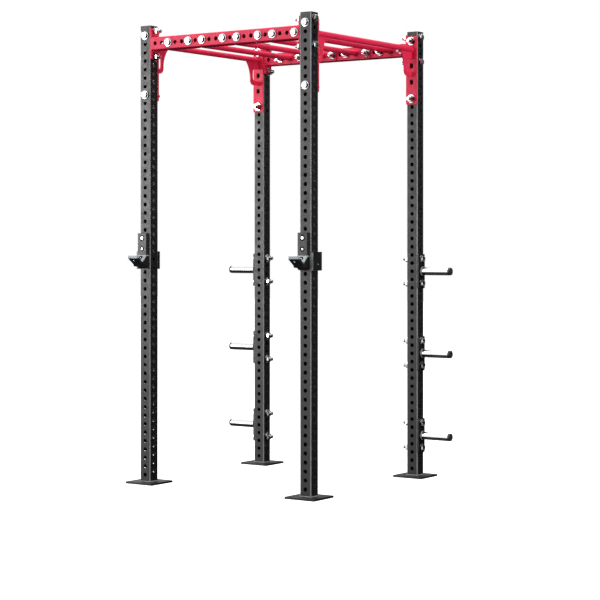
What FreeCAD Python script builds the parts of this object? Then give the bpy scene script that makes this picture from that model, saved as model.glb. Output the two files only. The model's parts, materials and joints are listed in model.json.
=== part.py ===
"""Power cage: four drilled uprights, two crossmembers, two side bars, four monkey bars,
six plate-storage pegs and two J-cups. Millimetres, +Z up, origin on the floor at the
centre of the four uprights, front of the cage towards -Y."""
import FreeCAD, Part
import math
import os
import Sketcher

SIZES = {
    "pitch": 50.8,            # spacing of the holes on every drilled tube
    "half_span": 584.2,       # cage centre to upright centre, both ways
    "tube": 76.2,             # outer side of the square tubes
    "wall": 4.0,
    "corner": 6.0,            # outer corner radius of the square tubes
    "bore": 25.4,             # holes of the tubes and of the bolted plates
    "first_hole": 54.0,       # floor to the lowest front hole
    "post_holes": 53,         # holes up each face of an upright
    "post_top": 2752.9,       # floor to the top end of an upright's tube
    "cap_flange": 3.0,
    "cap_plug": 5.0,
    "cap_clearance": 0.2,
    "cap_round": 2.0,
    "foot_side": 203.2,
    "foot_thick": 12.7,
    "foot_corner": 3.0,
    "anchor_bore": 14.0,
    "anchor_offset": 76.2,    # foot centre to an anchor hole, both ways
    "beam_height": 2644.8,    # floor to the axes of the crossmembers and bars
    "beam_holes": 21,
    "plate": 9.0,             # thickness of every bolted-on plate
    "plate_corner": 8.0,
    "bolt_reach": 76.2,       # plate centre to either bolt of a two-bolt plate
    "end_plate_width": 75.0,
    "end_plate_half": 93.0,
    "bar_diameter": 34.0,
    "bar_wall": 4.0,
    "flange_half": 101.6,
    "side_plate_up": 79.0,    # bar axis to the top of the side bar's plate
    "side_plate_down": 341.0,
    "slot_width": 25.4,
    "slot_height": 34.0,
    "slot_round": 12.0,
    "gusset_thick": 9.0,
    "gusset_reach": 130.0,
    "gusset_waist": 86.0,
    "gusset_sweep": 124.0,    # bar axis to the lower end of the hollow curve
    "gusset_hollow": 160.0,   # radius of the hollow curve
    "gusset_depth": 167.0,
    "gusset_corner": 35.0,
    "window_top": 62.0,
    "window_bottom": 139.0,
    "window_reach": 63.0,
    "window_corner": 20.0,
    "store_plate_half": 106.0,
    "peg_diameter": 48.0,
    "peg_wall": 5.0,
    "peg_root": 44.0,         # turned-down root of a peg, inside its collar
    "peg_end": 218.0,         # upright face to the end of a peg's cap
    "peg_cap": 15.0,
    "peg_cap_inset": 0.5,     # radius of a peg less that of its cap
    "peg_plug": 12.0,
    "collar_diameter": 62.0,
    "collar_length": 14.0,
    "collar_chamfer": 5.0,
    "shank": 24.0,
    "bolt_length": 132.0,
    "head_height": 13.0,
    "nut_height": 21.5,
    "across_corners": 41.6,
    "washer_diameter": 50.8,
    "washer_thick": 3.5,
    "pin_hole": 28,           # front hole that holds a J-cup's pin, counted from 0
    "cup_gap": 0.5,           # J-cup to upright, all round
    "cup_half": 34.0,         # half width of a J-cup's pad and hook
    "cup_plate": 8.0,
    "cup_top": 30.0,          # pin axis to the top of the pad
    "cup_bottom": 185.0,
    "wing_top": 79.0,         # pin axis to the top of the side wing
    "wing_reach": 22.0,       # upright side face to the outside of the wing
    "wing_plate": 10.0,
    "wing_lip": 106.0,        # outside of the wing to the end of its rear lip
    "wing_bend": 8.0,
    "liner_margin": 2.0,
    "pad_front": 30.0,        # upright face to the front of the pad
    "pad_bottom": 100.0,
    "pad_round": 3.0,
    "recess_depth": 6.0,      # round the pin and the screw in the pad's front
    "pin_recess": 33.0,
    "screw_recess": 28.0,
    "saddle_thick": 7.0,
    "valley_back": 65.0,      # saddle's valley, which the bar rests in
    "valley_front": 77.0,
    "valley_depth": 137.0,
    "lip_reach": 105.0,
    "lip_top": 104.0,
    "lip_bottom": 119.0,
    "saddle_root": 27.0,      # saddle's underside, from the pad to the lip
    "saddle_low_back": 62.0,
    "saddle_low_front": 80.0,
    "saddle_low": 144.0,
    "saddle_step": 101.4,
    "wall_low": 71.0,         # walls of the hook, beside the saddle's front slope
    "wall_step": 92.3,
    "hook_front": 118.0,
    "hook_nose": 122.0,
    "chin_reach": 70.0,
    "chin_depth": 156.0,
    "jaw_reach": 66.0,
    "jaw_depth": 168.0,
    "heel_reach": 28.0,
    "heel_depth": 172.0,
    "hook_foot": 24.0,
    "hook_bottom": 181.0,
    "hook_wall": 7.0,
    "hook_skin": 4.0,
    "pin_diameter": 24.0,
    "pin_proud": 1.0,
    "pin_tail": 14.0,
    "pin_edge": 1.5,
    "pin_taper": 4.0,
    "pin_clearance": 0.4,     # holes of the pad and plate over the pin and screw
    "screw_diameter": 18.0,
    "screw_drop": 64.0,       # pin axis to the pad's screw
    "small_shank": 6.0,       # small screws of a J-cup
    "small_head": 12.0,
    "small_height": 4.0,
    "small_play": 2.0,        # counterbore of the saddle over the screw's head
    "small_sink": 4.5,        # saddle's surface to the seat of its screw
    "saddle_grip": 8.0,       # seat of the saddle's screw to its end
    "chin_screw": 18.0,       # hook's front to the chin's screw
    "chin_grip": 14.0,
    "wing_screw": 150.0,      # pin axis to the wing's screw
    "wing_grip": 18.0,
}

CORNERS = {
    "front_left": (-1, -1),
    "front_right": (1, -1),
    "rear_left": (-1, 1),
    "rear_right": (1, 1),
}
SIDES = {"left": -1, "right": 1}
ENDS = {"front": -1, "rear": 1}
BAR_STEPS = (-6.5, -1.5, 3.5, 8.5)      # monkey bars, in pitches from the middle
PEG_STEPS = (4.0, 14.0, 24.0)           # storage pegs, in pitches above the lowest hole
SIDE_PLATE_BOLTS = (1.0, -6.0)          # in pitches from the bar axis
SIDE_PLATE_SLOTS = (-2.0, -4.0)
FLAT = 1e-6


# --- document, sheet and small helpers -------------------------------------------------

def make_sheet(doc):
    """Write the driving dimensions into a spreadsheet, one alias a row."""
    sheet = doc.addObject("Spreadsheet::Sheet", "Sizes")
    for row, (alias, number) in enumerate(SIZES.items(), start=1):
        sheet.set(f"A{row}", alias)
        sheet.set(f"B{row}", str(number))
        sheet.setAlias(f"B{row}", alias)
    doc.recompute()


def size(doc, text):
    """Value of an expression such as Sizes.tube / 2."""
    return float(doc.getObject("Sizes").evalExpression(text))


def place(item, x="0", y="0", z="0"):
    """Bind an object's position to expressions."""
    for axis, text in zip("xyz", (x, y, z)):
        item.setExpression(f"Placement.Base.{axis}", text)


def origin_feature(body, role):
    """A body's own origin plane or axis."""
    return next(item for item in body.Origin.OriginFeatures if item.Role == role)


def new_body(doc, label):
    body = doc.addObject("PartDesign::Body", label)
    body.Label = label
    return body


def new_sketch(body, plane, name, offset=None):
    """Empty sketch on one of the body's own origin planes, or offset along its normal."""
    sketch = body.newObject("Sketcher::SketchObject", f"{body.Name}_{name}")
    sketch.AttachmentSupport = [(origin_feature(body, plane), "")]
    sketch.MapMode = "FlatFace"
    if offset is not None:
        sketch.setExpression("AttachmentOffset.Base.z", offset)
    return sketch


def bind_point(sketch, shape, point, spot):
    """Hold a sketch point at two expressions, measured from the sketch's origin."""
    for kind, text, axis in zip(("DistanceX", "DistanceY"), spot, (-2, -1)):
        number = size(sketch.Document, text)
        if abs(number) < FLAT:
            sketch.addConstraint(Sketcher.Constraint("PointOnObject", shape, point, axis))
        else:
            rule = Sketcher.Constraint(kind, -1, 1, shape, point, number)
            index = sketch.addConstraint(rule)
            sketch.setExpression(f"Constraints[{index}]", text)


def end_at(sketch, shape, point):
    """Which end of a line or arc, 1 or 2, lies at a point."""
    near = sketch.getPoint(shape, 1).distanceToPoint(point) < 1e-3
    return 1 if near else 2


def hollow_arc(start, end, radius):
    """Arc between two points that bows to the left of the way from start to end."""
    chord = end - start
    left = FreeCAD.Vector(-chord.y, chord.x, 0).normalize()
    rise = radius - math.sqrt(radius ** 2 - chord.Length ** 2 / 4)
    return Part.Arc(start, (start + end) / 2 + left * rise, end)


def add_outline(sketch, spots, arcs=None):
    """Closed outline through spots, each a pair of expressions. arcs gives the sides,
    by index, that are hollow arcs, and the expression of each one's radius."""
    doc = sketch.Document
    arcs = arcs or {}
    points = [FreeCAD.Vector(size(doc, x), size(doc, y), 0) for x, y in spots]
    first = sketch.GeometryCount
    total = len(points)
    for index, start in enumerate(points):
        end = points[(index + 1) % total]
        if index in arcs:
            sketch.addGeometry(hollow_arc(start, end, size(doc, arcs[index])))
        else:
            sketch.addGeometry(Part.LineSegment(start, end))
    for index, point in enumerate(points):
        here = first + index
        last = first + (index - 1) % total
        end = end_at(sketch, here, point)
        joint = Sketcher.Constraint("Coincident", last, end_at(sketch, last, point), here, end)
        sketch.addConstraint(joint)
        bind_point(sketch, here, end, spots[index])
    for index, text in arcs.items():
        rule = Sketcher.Constraint("Radius", first + index, size(doc, text))
        sketch.setExpression(f"Constraints[{sketch.addConstraint(rule)}]", text)


def add_rectangle(sketch, half_width, half_height):
    """Rectangle centred on the sketch's origin."""
    right, left = f"{half_width}", f"-({half_width})"
    top, bottom = f"{half_height}", f"-({half_height})"
    add_outline(sketch, [(left, bottom), (right, bottom), (right, top), (left, top)])


def add_circle(sketch, diameter, spot=("0", "0")):
    doc = sketch.Document
    centre = FreeCAD.Vector(size(doc, spot[0]), size(doc, spot[1]), 0)
    circle = Part.Circle(centre, FreeCAD.Vector(0, 0, 1), size(doc, diameter) / 2)
    shape = sketch.addGeometry(circle)
    rule = Sketcher.Constraint("Diameter", shape, size(doc, diameter))
    sketch.setExpression(f"Constraints[{sketch.addConstraint(rule)}]", diameter)
    bind_point(sketch, shape, 3, spot)


def pad(body, sketch, length):
    """Pad half the length to each side of the sketch."""
    feature = body.newObject("PartDesign::Pad", f"{sketch.Name}_pad")
    feature.Profile = sketch
    feature.SideType = "Symmetric"
    feature.setExpression("Length", length)
    body.Document.recompute()
    return feature


def cut(body, sketch, length=None):
    """Pocket through everything, or half the length to each side, checked by volume."""
    before = body.Shape.Volume
    feature = body.newObject("PartDesign::Pocket", f"{sketch.Name}_pocket")
    feature.Profile = sketch
    feature.SideType = "Symmetric"
    if length is None:
        feature.Type = "ThroughAll"
    else:
        feature.setExpression("Length", length)
    body.Document.recompute()
    if body.Shape.Volume > before - 1:
        raise RuntimeError(f"{feature.Name} cuts nothing")
    return feature


def drill(body, plane, name, diameter, spots):
    """Round holes right through the body."""
    sketch = new_sketch(body, plane, name)
    for spot in spots:
        add_circle(sketch, diameter, spot)
    return cut(body, sketch)


def repeat(body, feature, axis, count):
    """Repeat a feature along an axis at the hole pitch."""
    pattern = body.newObject("PartDesign::LinearPattern", f"{feature.Name}_row")
    pattern.Originals = [feature]
    pattern.Direction = (origin_feature(body, axis), [""])
    pattern.Mode = "Spacing"
    pattern.setExpression("Offset", "Sizes.pitch")
    pattern.setExpression("Occurrences", count)
    body.Tip = pattern
    body.Document.recompute()


def revolve(body, sketch, axis):
    feature = body.newObject("PartDesign::Revolution", f"{sketch.Name}_turned")
    feature.Profile = sketch
    feature.ReferenceAxis = (origin_feature(body, axis), [""])
    feature.Angle = 360
    body.Document.recompute()


def round_edges(body, axis, radius, spots):
    """Fillet the straight edges that run along an axis through spots of the plane
    across it."""
    doc = body.Document
    base = body.Tip
    across = [item for item in "xyz" if item != axis]
    wanted = [[size(doc, text) for text in spot] for spot in spots]
    names = []
    for index, edge in enumerate(base.Shape.Edges, start=1):
        box = edge.BoundBox
        lengths = {"x": box.XLength, "y": box.YLength, "z": box.ZLength}
        if lengths[axis] < edge.Length - 0.01:
            continue
        middle = [getattr(box.Center, item) for item in across]
        if any(math.dist(middle, spot) < 0.05 for spot in wanted):
            names.append(f"Edge{index}")
    feature = body.newObject("PartDesign::Fillet", f"{body.Name}_round_{axis}")
    feature.Base = (base, names)
    feature.setExpression("Radius", radius)
    doc.recompute()


def four(half_width, half_height):
    """The four corner spots of a centred rectangle."""
    signs = [(-1, -1), (1, -1), (1, 1), (-1, 1)]
    return [(f"{a} * ({half_width})", f"{b} * ({half_height})") for a, b in signs]


def group(doc, label, master, places):
    """Separate copies of one master as one sub-part."""
    link = doc.addObject("App::Link", f"{label}_copies")
    link.LinkedObject = master
    link.ShowElement = False
    link.ElementCount = len(places)
    link.PlacementList = places
    item = doc.addObject("Part::Compound", label)
    item.Label = label
    item.Links = [link]
    return item


def facing(direction, x, y, z):
    """Placement that turns +Z to a direction."""
    turn = FreeCAD.Rotation(FreeCAD.Vector(0, 0, 1), FreeCAD.Vector(*direction))
    return FreeCAD.Placement(FreeCAD.Vector(x, y, z), turn)


# --- uprights and feet -----------------------------------------------------------------

def make_upright(doc, name, sx, sy):
    """Square tube with holes front to back, and others half a pitch higher side to side."""
    body = new_body(doc, f"upright_{name}")
    half, inner = "Sizes.tube / 2", "Sizes.tube / 2 - Sizes.wall"
    length = "Sizes.post_top - Sizes.foot_thick"
    section = new_sketch(body, "XY_Plane", "section", f"({length}) / 2")
    add_rectangle(section, half, half)
    add_rectangle(section, inner, inner)
    pad(body, section, length)
    round_edges(body, "z", "Sizes.corner", four(half, half))
    lowest = "Sizes.first_hole - Sizes.foot_thick"
    front = drill(body, "XZ_Plane", "front_hole", "Sizes.bore", [("0", lowest)])
    repeat(body, front, "Z_Axis", "Sizes.post_holes")
    side = drill(body, "YZ_Plane", "side_hole", "Sizes.bore", [("0", f"{lowest} + Sizes.pitch / 2")])
    repeat(body, side, "Z_Axis", "Sizes.post_holes")
    place(body, f"{sx} * Sizes.half_span", f"{sy} * Sizes.half_span", "Sizes.foot_thick")
    return body


def make_foot(doc, name, sx, sy):
    """Base plate with four anchor holes."""
    body = new_body(doc, f"base_plate_{name}")
    half = "Sizes.foot_side / 2"
    section = new_sketch(body, "XY_Plane", "section")
    add_rectangle(section, half, half)
    pad(body, section, "Sizes.foot_thick")
    round_edges(body, "z", "Sizes.foot_corner", four(half, half))
    drill(body, "XY_Plane", "anchor", "Sizes.anchor_bore", four("Sizes.anchor_offset", "Sizes.anchor_offset"))
    place(body, f"{sx} * Sizes.half_span", f"{sy} * Sizes.half_span", "Sizes.foot_thick / 2")
    return body


def make_upright_caps(doc):
    """Plastic caps: a flange over the end of the tube and a short plug inside it."""
    master = new_body(doc, "upright_cap")
    half, inner = "Sizes.tube / 2", "Sizes.tube / 2 - Sizes.wall - Sizes.cap_clearance"
    flange = new_sketch(master, "XY_Plane", "flange", "Sizes.cap_flange / 2")
    add_rectangle(flange, half, half)
    pad(master, flange, "Sizes.cap_flange")
    round_edges(master, "z", "Sizes.corner", four(half, half))
    plug = new_sketch(master, "XY_Plane", "plug", "-Sizes.cap_plug / 2")
    add_rectangle(plug, inner, inner)
    pad(master, plug, "Sizes.cap_plug")
    span, top = SIZES["half_span"], SIZES["post_top"]
    places = [facing((0, 0, 1), sx * span, sy * span, top) for sx, sy in CORNERS.values()]
    return group(doc, "upright_caps", master, places)


# --- crossmembers, side bars and monkey bars -------------------------------------------

def make_crossmember(doc, name, sy):
    """Drilled square tube between two end plates."""
    body = new_body(doc, f"crossmember_{name}")
    half, inner = "Sizes.tube / 2", "Sizes.tube / 2 - Sizes.wall"
    section = new_sketch(body, "YZ_Plane", "section")
    add_rectangle(section, half, half)
    add_rectangle(section, inner, inner)
    pad(body, section, "2 * (Sizes.half_span - Sizes.tube / 2 - Sizes.plate)")
    round_edges(body, "x", "Sizes.corner", four(half, half))
    first = "-Sizes.pitch * (Sizes.beam_holes - 1) / 2"
    hole = drill(body, "XZ_Plane", "hole", "Sizes.bore", [(first, "0")])
    repeat(body, hole, "X_Axis", "Sizes.beam_holes")
    place(body, "0", f"{sy} * Sizes.half_span", "Sizes.beam_height")
    return body


def make_end_plate(doc, name, sx, sy):
    """Plate of a crossmember's end, bolted to the inner face of an upright."""
    body = new_body(doc, f"crossmember_end_plate_{name}")
    half_width, half_height = "Sizes.end_plate_width / 2", "Sizes.end_plate_half"
    section = new_sketch(body, "YZ_Plane", "section")
    add_rectangle(section, half_width, half_height)
    pad(body, section, "Sizes.plate")
    round_edges(body, "x", "Sizes.plate_corner", four(half_width, half_height))
    spots = [("0", "Sizes.bolt_reach"), ("0", "-Sizes.bolt_reach")]
    drill(body, "YZ_Plane", "bolt", "Sizes.bore", spots)
    inset = "Sizes.half_span - Sizes.tube / 2 - Sizes.plate / 2"
    place(body, f"{sx} * ({inset})", f"{sy} * Sizes.half_span", "Sizes.beam_height")
    return body


def make_round_bar(doc, label, x):
    """Round bar that runs front to back between two plates."""
    body = new_body(doc, label)
    section = new_sketch(body, "XZ_Plane", "section")
    add_circle(section, "Sizes.bar_diameter")
    add_circle(section, "Sizes.bar_diameter - 2 * Sizes.bar_wall")
    pad(body, section, "2 * (Sizes.half_span - Sizes.tube / 2 - Sizes.plate)")
    place(body, x, "0", "Sizes.beam_height")
    return body


def make_side_plate(doc, name, sx, sy):
    """Long plate of a side bar, bolted to the front or rear face of an upright."""
    body = new_body(doc, f"side_bar_plate_{name}")
    half, top, bottom = "Sizes.tube / 2", "Sizes.side_plate_up", "-Sizes.side_plate_down"
    spots = [(f"-{half}", bottom), (half, bottom), (half, top), (f"-{half}", top)]
    section = new_sketch(body, "XZ_Plane", "section")
    add_outline(section, spots)
    pad(body, section, "Sizes.plate")
    round_edges(body, "y", "Sizes.plate_corner", spots)
    bolts = [("0", f"{step} * Sizes.pitch") for step in SIDE_PLATE_BOLTS]
    drill(body, "XZ_Plane", "bolt", "Sizes.bore", bolts)
    slots = new_sketch(body, "XZ_Plane", "slots")
    wide, tall = "Sizes.slot_width / 2", "Sizes.slot_height / 2"
    openings = []
    for step in SIDE_PLATE_SLOTS:
        openings.append([(x, f"{step} * Sizes.pitch + {y}") for x, y in four(wide, tall)])
        add_outline(slots, openings[-1])
    cut(body, slots)
    round_edges(body, "y", "Sizes.slot_round", openings[-1])
    inset = "Sizes.half_span - Sizes.tube / 2 - Sizes.plate / 2"
    place(body, f"{sx} * Sizes.half_span", f"{sy} * ({inset})", "Sizes.beam_height")
    return body


def make_gusset(doc, name, sx, sy):
    """Upright web between a side bar and its plate, with a hollow outer edge and a
    window that is open towards the plate."""
    body = new_body(doc, f"side_bar_gusset_{name}")
    inward = -sy
    top = "-Sizes.bar_diameter / 2"
    outline = [
        ("0", top),
        (f"{inward} * Sizes.gusset_reach", top),
        (f"{inward} * Sizes.gusset_waist", "-Sizes.gusset_sweep"),
        (f"{inward} * Sizes.gusset_waist", "-Sizes.gusset_depth"),
        ("0", "-Sizes.gusset_depth"),
    ]
    window = [
        ("0", "-Sizes.window_top"),
        (f"{inward} * Sizes.window_reach", "-Sizes.window_top"),
        (f"{inward} * Sizes.window_reach", "-Sizes.window_bottom"),
        ("0", "-Sizes.window_bottom"),
    ]
    section = new_sketch(body, "YZ_Plane", "section")
    if inward > 0:
        add_outline(section, outline[::-1], {2: "Sizes.gusset_hollow"})
    else:
        add_outline(section, outline, {1: "Sizes.gusset_hollow"})
    pad(body, section, "Sizes.gusset_thick")
    round_edges(body, "x", "Sizes.gusset_corner", [outline[3]])
    opening = new_sketch(body, "YZ_Plane", "window")
    add_outline(opening, window)
    cut(body, opening)
    round_edges(body, "x", "Sizes.window_corner", window[1:3])
    inset = "Sizes.half_span - Sizes.tube / 2 - Sizes.plate"
    place(body, f"{sx} * Sizes.half_span", f"{sy} * ({inset})", "Sizes.beam_height")
    return body


def make_bar_flanges(doc):
    """Flange plates of the monkey bars, one pair a bar, on the crossmembers' inner faces."""
    master = new_body(doc, "bar_flange")
    half_width, half_height = "Sizes.flange_half", "Sizes.tube / 2"
    section = new_sketch(master, "XZ_Plane", "section")
    add_rectangle(section, half_width, half_height)
    pad(master, section, "Sizes.plate")
    round_edges(master, "y", "Sizes.plate_corner", four(half_width, half_height))
    drill(master, "XZ_Plane", "bolt", "Sizes.bore", [("Sizes.bolt_reach", "0"), ("-Sizes.bolt_reach", "0")])
    inset = SIZES["half_span"] - (SIZES["tube"] + SIZES["plate"]) / 2
    items = []
    for number, step in enumerate(BAR_STEPS, start=1):
        x = step * SIZES["pitch"]
        places = [facing((0, 0, 1), x, sy * inset, SIZES["beam_height"]) for sy in ENDS.values()]
        items.append(group(doc, f"monkey_bar_flanges_{number}", master, places))
    return items


# --- plate storage ---------------------------------------------------------------------

def peg_heights():
    return [SIZES["first_hole"] + step * SIZES["pitch"] for step in PEG_STEPS]


def make_store_plates(doc):
    """Two-bolt plates of the pegs, three on the outer face of each rear upright."""
    master = new_body(doc, "storage_plate")
    half_width, half_height = "Sizes.end_plate_width / 2", "Sizes.store_plate_half"
    section = new_sketch(master, "YZ_Plane", "section")
    add_rectangle(section, half_width, half_height)
    pad(master, section, "Sizes.plate")
    round_edges(master, "x", "Sizes.plate_corner", four(half_width, half_height))
    drill(master, "YZ_Plane", "bolt", "Sizes.bore", [("0", "Sizes.bolt_reach"), ("0", "-Sizes.bolt_reach")])
    reach = SIZES["half_span"] + (SIZES["tube"] + SIZES["plate"]) / 2
    items = []
    for side, sx in SIDES.items():
        places = [facing((0, 0, 1), sx * reach, SIZES["half_span"], height) for height in peg_heights()]
        items.append(group(doc, f"storage_plates_{side}", master, places))
    return items


def make_peg(doc, side, sx, number, step):
    """Chromed tube that carries weight plates, turned down inside its collar."""
    body = new_body(doc, f"storage_peg_{side}_{number}")
    outer, root = "Sizes.peg_diameter / 2", "Sizes.peg_root / 2"
    bore = f"{outer} - Sizes.peg_wall"
    shoulder, end = "Sizes.collar_length", "Sizes.peg_end - Sizes.peg_cap - Sizes.plate"
    turns = [("0", bore), ("0", root), (shoulder, root), (shoulder, outer), (end, outer), (end, bore)]
    profile = new_sketch(body, "XY_Plane", "profile")
    add_outline(profile, [(f"{sx} * ({along})", radius) for along, radius in turns])
    revolve(body, profile, "X_Axis")
    foot = "Sizes.half_span + Sizes.tube / 2 + Sizes.plate"
    height = f"Sizes.first_hole + {step} * Sizes.pitch"
    place(body, f"{sx} * ({foot})", "Sizes.half_span", height)
    return body


def peg_places(reach):
    """Placements on the six peg axes, reach out from the uprights' outer faces."""
    out = SIZES["half_span"] + SIZES["tube"] / 2 + reach
    span = SIZES["half_span"]
    return [facing((sx, 0, 0), sx * out, span, height) for sx in SIDES.values() for height in peg_heights()]


def make_collars(doc):
    """Chamfered rings at the roots of the pegs."""
    master = new_body(doc, "storage_collar")
    profile = new_sketch(master, "XZ_Plane", "profile")
    inner, outer = "Sizes.peg_root / 2", "Sizes.collar_diameter / 2"
    length, edge = "Sizes.collar_length", "Sizes.collar_chamfer"
    spots = [(inner, "0"), (outer, "0"), (outer, f"{length} - {edge}"), (f"{outer} - {edge}", length)]
    add_outline(profile, spots + [(inner, length)])
    revolve(master, profile, "Z_Axis")
    return group(doc, "storage_collars", master, peg_places(SIZES["plate"]))


def make_peg_caps(doc):
    """Plastic end caps of the pegs, each with a plug inside the tube."""
    master = new_body(doc, "storage_peg_cap")
    profile = new_sketch(master, "XZ_Plane", "profile")
    radius = "Sizes.peg_diameter / 2"
    rim, bore = f"{radius} - Sizes.peg_cap_inset", f"{radius} - Sizes.peg_wall"
    plug, length = "-Sizes.peg_plug", "Sizes.peg_cap"
    edge = "Sizes.cap_round"
    spots = [("0", plug), (bore, plug), (bore, "0"), (rim, "0"), (rim, f"{length} - {edge}")]
    add_outline(profile, spots + [(f"{rim} - {edge}", length), ("0", length)])
    revolve(master, profile, "Z_Axis")
    reach = SIZES["peg_end"] - SIZES["peg_cap"]
    return group(doc, "storage_peg_caps", master, peg_places(reach))


# --- frame hardware --------------------------------------------------------------------

def new_cylinder(doc, name, diameter, height, z="0"):
    item = doc.addObject("Part::Cylinder", name)
    item.setExpression("Radius", f"({diameter}) / 2")
    item.setExpression("Height", height)
    item.setExpression("Placement.Base.z", z)
    return item


def new_hexagon(doc, name, height, z):
    item = doc.addObject("Part::Prism", name)
    item.Polygon = 6
    item.setExpression("Circumradius", "Sizes.across_corners / 2")
    item.setExpression("Height", height)
    item.setExpression("Placement.Base.z", z)
    return item


def combine(doc, kind, name, base, tool):
    item = doc.addObject(kind, name)
    item.Base = base
    item.Tool = tool
    return item


def bolt_places():
    """Where every frame bolt starts, at the face under its first washer, with +Z along
    the bolt."""
    span, face = SIZES["half_span"], SIZES["half_span"] + SIZES["tube"] / 2
    pitch, beam, reach = SIZES["pitch"], SIZES["beam_height"], SIZES["bolt_reach"]
    places = []
    for sx, sy in CORNERS.values():
        for rise in (-reach, reach):
            places.append(facing((-sx, 0, 0), sx * face, sy * span, beam + rise))
        for step in SIDE_PLATE_BOLTS:
            places.append(facing((0, -sy, 0), sx * span, sy * face, beam + step * pitch))
    for sy in ENDS.values():
        for step in BAR_STEPS:
            for shift in (-reach, reach):
                places.append(facing((0, -sy, 0), step * pitch + shift, sy * face, beam))
    for sx in SIDES.values():
        for height in peg_heights():
            for rise in (-reach, reach):
                places.append(facing((-sx, 0, 0), sx * (face + SIZES["plate"]), span, height + rise))
    return places


def make_hardware(doc):
    """Bolts, nuts and washers of the frame, each kind as one group."""
    washer, stack = "Sizes.washer_thick", "Sizes.tube + Sizes.plate"
    places = bolt_places()
    head = new_hexagon(doc, "bolt_head", "Sizes.head_height", f"-{washer} - Sizes.head_height")
    shank = new_cylinder(doc, "bolt_shank", "Sizes.shank", "Sizes.bolt_length", f"-{washer}")
    bolt = combine(doc, "Part::Fuse", "frame_bolt", head, shank)
    blank = new_hexagon(doc, "nut_blank", "Sizes.nut_height", f"{stack} + {washer}")
    tapping = new_cylinder(doc, "nut_bore", "Sizes.shank", "Sizes.nut_height", f"{stack} + {washer}")
    nut = combine(doc, "Part::Cut", "frame_nut", blank, tapping)
    rings = []
    for name, z in (("near", f"-{washer}"), ("far", stack)):
        disc = new_cylinder(doc, f"washer_{name}_disc", "Sizes.washer_diameter", washer, z)
        bore = new_cylinder(doc, f"washer_{name}_bore", "Sizes.shank", washer, z)
        rings.append(combine(doc, "Part::Cut", f"washer_{name}", disc, bore))
    pair = doc.addObject("Part::Compound", "washer_pair")
    pair.Links = rings
    masters = {"frame_bolts": bolt, "frame_nuts": nut, "frame_washers": pair}
    return [group(doc, label, master, places) for label, master in masters.items()]


# --- J-cups ----------------------------------------------------------------------------
# A J-cup is drawn from its pin axis, at the centre of its upright. side is -1 on the left
# upright and 1 on the right one, and the wing is on the cage's outer side.

def ahead(reach):
    """Y of a point that is reach ahead of the upright's front face."""
    return f"-Sizes.tube / 2 - ({reach})"


def place_cup_part(item, side):
    height = "Sizes.first_hole + Sizes.pin_hole * Sizes.pitch"
    place(item, f"{side} * Sizes.half_span", "-Sizes.half_span", height)


def make_cup_bracket(doc, name, side):
    """Front plate behind the pad, and a wing that wraps the upright's outer side."""
    body = new_body(doc, f"j_cup_{name}_bracket")
    near, far = "Sizes.cup_gap", "Sizes.cup_gap + Sizes.cup_plate"
    back, behind = f"-Sizes.tube - ({near})", f"-Sizes.tube - ({far})"
    wing = "Sizes.tube / 2 + Sizes.wing_reach"
    inside, lip = f"{wing} - Sizes.wing_plate", f"{wing} - Sizes.wing_lip"
    turns = [("-Sizes.cup_half", near), ("-Sizes.cup_half", far), (wing, far), (wing, behind)]
    turns += [(lip, behind), (lip, back), (inside, back), (inside, near)]
    spots = [(f"{side} * ({u})", ahead(reach)) for u, reach in turns]
    channel = new_sketch(body, "XY_Plane", "channel", "-(Sizes.wing_top + Sizes.cup_bottom) / 2")
    add_outline(channel, spots)
    pad(body, channel, "Sizes.cup_bottom - Sizes.wing_top")
    plate = new_sketch(body, "XZ_Plane", "plate", "Sizes.tube / 2 + Sizes.cup_gap + Sizes.cup_plate / 2")
    left, right = "-Sizes.cup_half", "Sizes.cup_half"
    top, bottom = "Sizes.cup_top", "-Sizes.cup_bottom"
    add_outline(plate, [(left, bottom), (right, bottom), (right, top), (left, top)])
    pad(body, plate, "Sizes.cup_plate")
    round_edges(body, "z", "Sizes.wing_bend", [spots[2], spots[3]])
    pin = "Sizes.pin_diameter + Sizes.pin_clearance"
    screw = "Sizes.screw_diameter + Sizes.pin_clearance"
    drill(body, "XZ_Plane", "pin_hole", pin, [("0", "0")])
    drill(body, "XZ_Plane", "screw_hole", screw, [("0", "-Sizes.screw_drop")])
    small = "Sizes.small_shank + Sizes.pin_clearance"
    drill(body, "YZ_Plane", "wing_hole", small, [("0", "-Sizes.wing_screw")])
    place_cup_part(body, side)
    return body


def make_cup_pad(doc, name, side):
    """Plastic pad that guards the bar against the upright."""
    body = new_body(doc, f"j_cup_{name}_pad")
    back, front = "Sizes.cup_gap + Sizes.cup_plate", "Sizes.pad_front"
    middle, depth = f"({back} + {front}) / 2", f"{front} - ({back})"
    section = new_sketch(body, "XZ_Plane", "section", f"Sizes.tube / 2 + {middle}")
    left, right = "-Sizes.cup_half", "Sizes.cup_half"
    top, bottom = "Sizes.cup_top", "-Sizes.pad_bottom"
    add_outline(section, [(left, bottom), (right, bottom), (right, top), (left, top)])
    pad(body, section, depth)
    round_edges(body, "z", "Sizes.pad_round", [(left, ahead(front)), (right, ahead(front))])
    drill(body, "XZ_Plane", "pin_hole", "Sizes.pin_diameter + Sizes.pin_clearance", [("0", "0")])
    screw = "Sizes.screw_diameter + Sizes.pin_clearance"
    drill(body, "XZ_Plane", "screw_hole", screw, [("0", "-Sizes.screw_drop")])
    recess = new_sketch(body, "XZ_Plane", "recess", f"Sizes.tube / 2 + {front}")
    add_circle(recess, "Sizes.pin_recess")
    add_circle(recess, "Sizes.screw_recess", ("0", "-Sizes.screw_drop"))
    cut(body, recess, "2 * Sizes.recess_depth")
    place_cup_part(body, side)
    return body


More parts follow.
